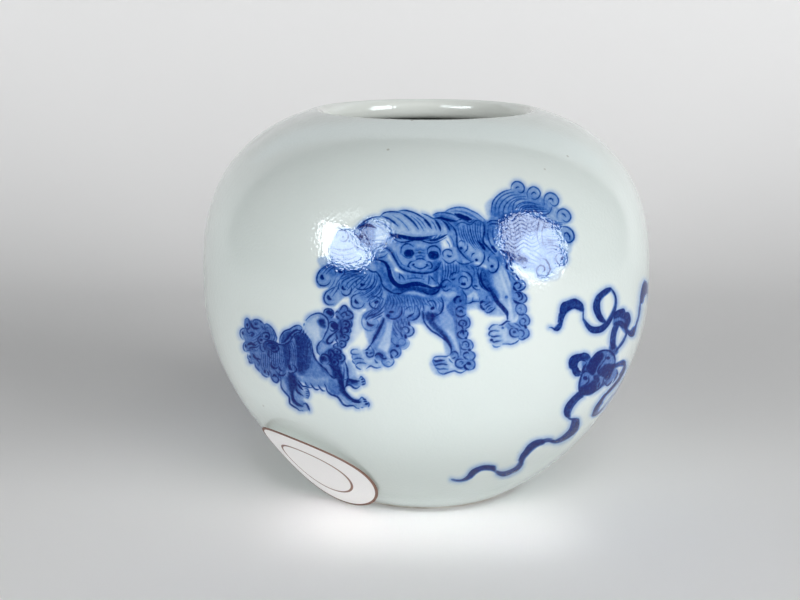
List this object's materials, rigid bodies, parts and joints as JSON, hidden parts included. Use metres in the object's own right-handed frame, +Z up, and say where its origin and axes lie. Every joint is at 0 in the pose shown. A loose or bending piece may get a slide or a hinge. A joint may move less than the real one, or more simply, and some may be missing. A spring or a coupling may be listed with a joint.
{
  "type": "calligraphy water pot",
  "caption": "Low round apple-shaped porcelain jar with a wide mouth, a bare foot ring and blue underglaze painting, holding clean water for grinding ink.",
  "frame": {"origin": "centre of the foot ring on the table, on the pot's axis", "axes": "+Z up along the pot's axis, -Y towards the painted front"},
  "size_m": [0.087, 0.087, 0.0738],
  "materials": {
    "bare_porcelain": "unglazed, fine and dry",
    "glaze": "glossy, faintly blue-green clear glaze over white",
    "label_paper": "coated label paper with a brown printed ring"
  },
  "bodies": {
    "root": {"lower_section": "bare_porcelain", "upper_section": "bare_porcelain", "luting_slip": "bare_porcelain", "inner_glaze": "glaze", "outer_glaze": "glaze", "base_glaze": "glaze", "inventory_label": "label_paper"}
  },
  "joints": []
}
